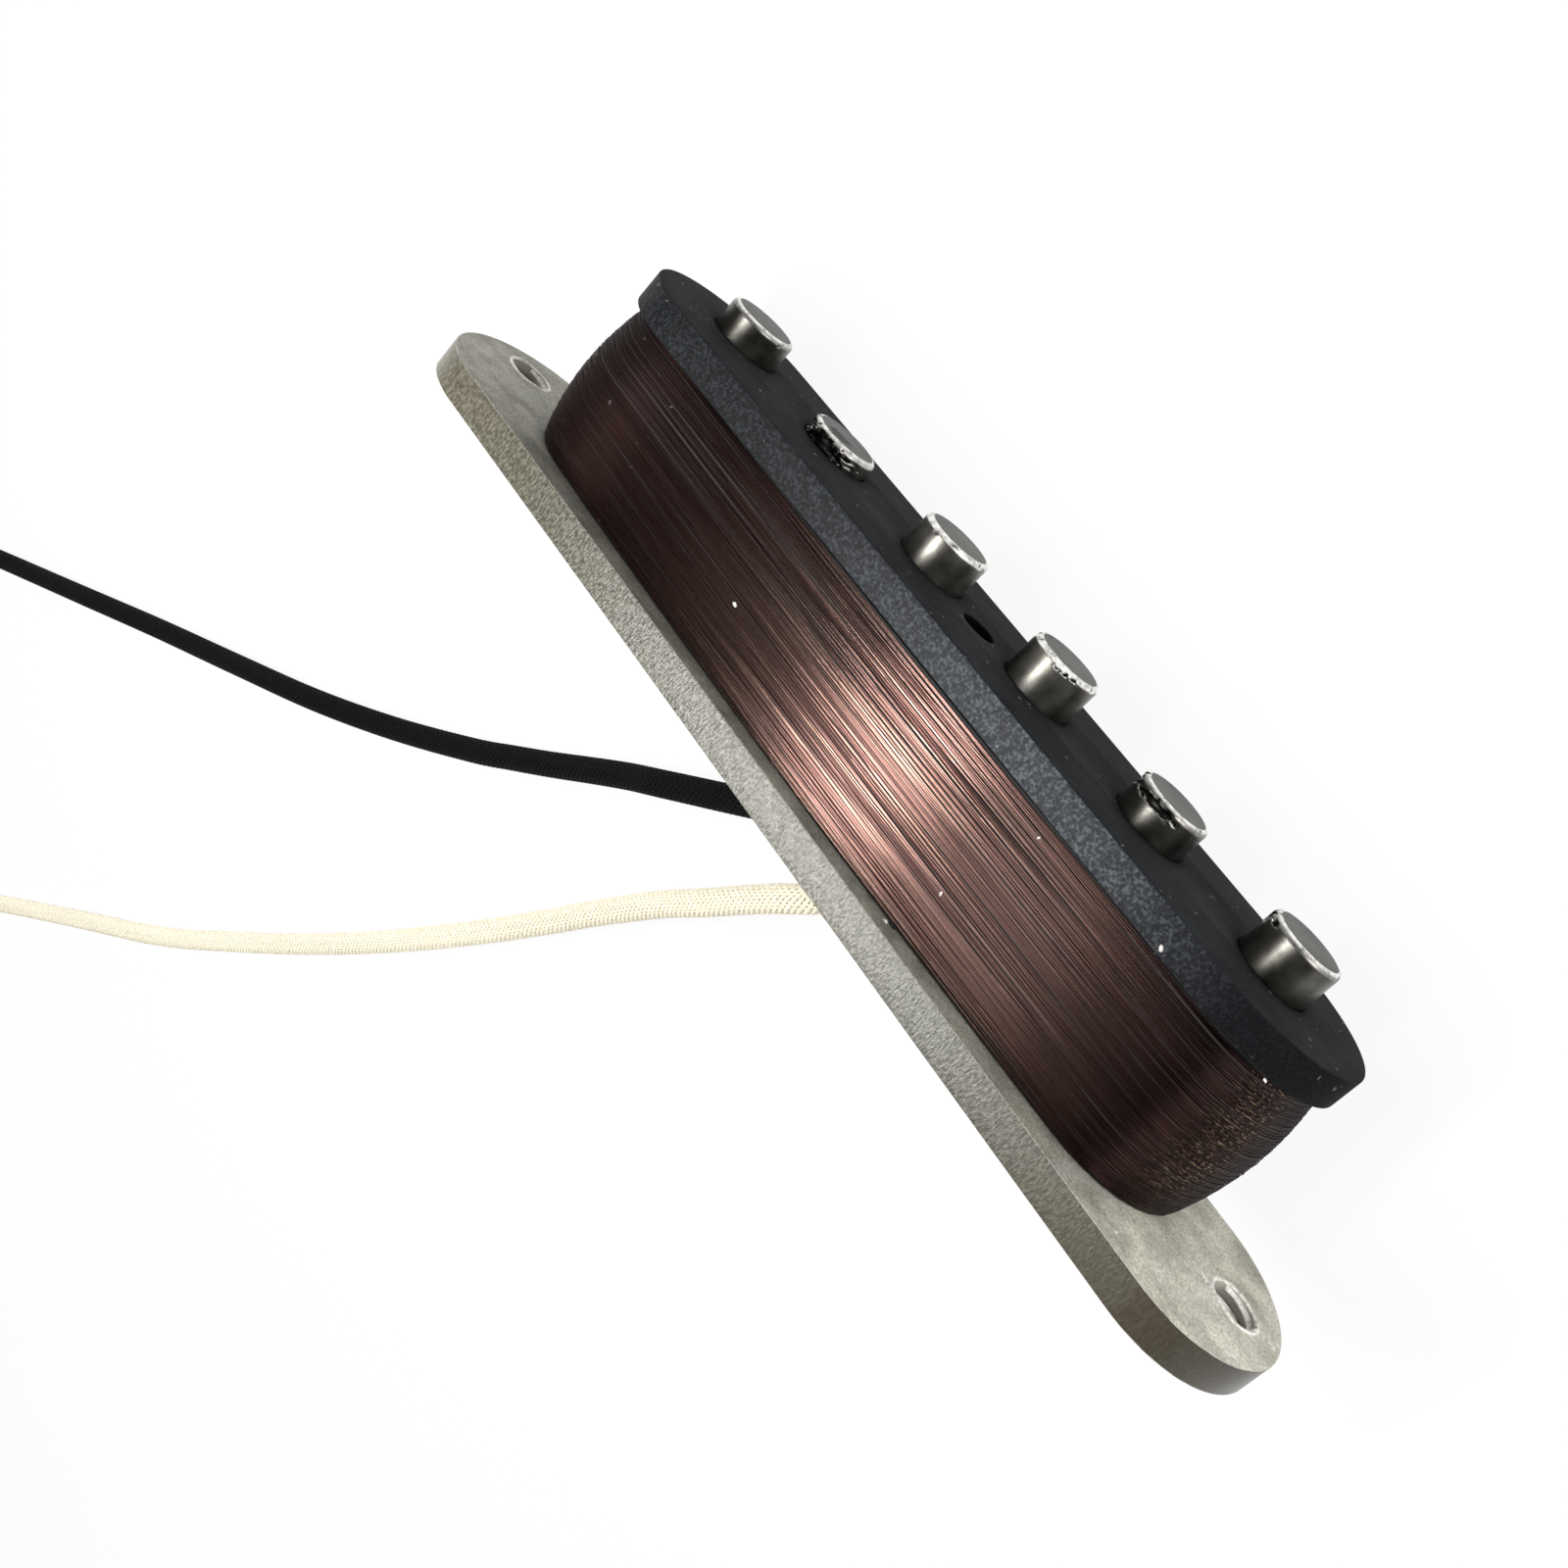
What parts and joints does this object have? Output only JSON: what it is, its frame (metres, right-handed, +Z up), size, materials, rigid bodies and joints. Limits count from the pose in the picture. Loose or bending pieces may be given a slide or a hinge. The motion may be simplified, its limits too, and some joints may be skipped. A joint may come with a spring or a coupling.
{
  "type": "guitar pickup",
  "caption": "Single-coil guitar pickup with staggered rod magnets between two fibre flatworks, a fine wire coil and two cloth-covered leads, lying on its side.",
  "frame": {"origin": "centre of the underside of the pickup's box as it lies on its far side, without the leads", "axes": "+X along the row of magnets from the treble pole to the bass pole, +Y towards the strings, tipped down by the lean, +Z up from the surface it lies on"},
  "size_m": [0.1986, 0.1705, 0.02],
  "materials": {
    "grey_fibre": "matte vulcanised fibre, mottled grey-beige",
    "black_fibre": "matte vulcanised fibre, blue-black",
    "magnet": "ground ends, polished sides",
    "coil_wire": "glossy dark red enamel on copper",
    "eyelet_brass": "satin",
    "solder": "satin grey",
    "tinned_strand": "twisted tinned strands",
    "black_cloth": "waxed black cotton braid",
    "cream_cloth": "waxed cream cotton braid",
    "tie_paper": "plain brown paper band"
  },
  "bodies": {
    "root": {"bottom_flatwork": "grey_fibre", "top_flatwork": "black_fibre", "magnet_1": "magnet", "magnet_2": "magnet", "magnet_3": "magnet", "magnet_4": "magnet", "magnet_5": "magnet", "magnet_6": "magnet", "coil_core": "coil_wire", "coil_winding": "coil_wire", "coil_finish_wire": "coil_wire", "coil_start_wire": "coil_wire", "black_eyelet": "eyelet_brass", "white_eyelet": "eyelet_brass", "black_solder": "solder", "white_solder": "solder", "black_conductor": "tinned_strand", "white_conductor": "tinned_strand", "black_lead": "black_cloth", "black_lead_coil": "black_cloth", "black_lead_tie": "tie_paper", "black_lead_end": "tinned_strand", "white_lead": "cream_cloth", "white_lead_coil": "cream_cloth", "white_lead_tie": "tie_paper", "white_lead_end": "tinned_strand"}
  },
  "joints": []
}
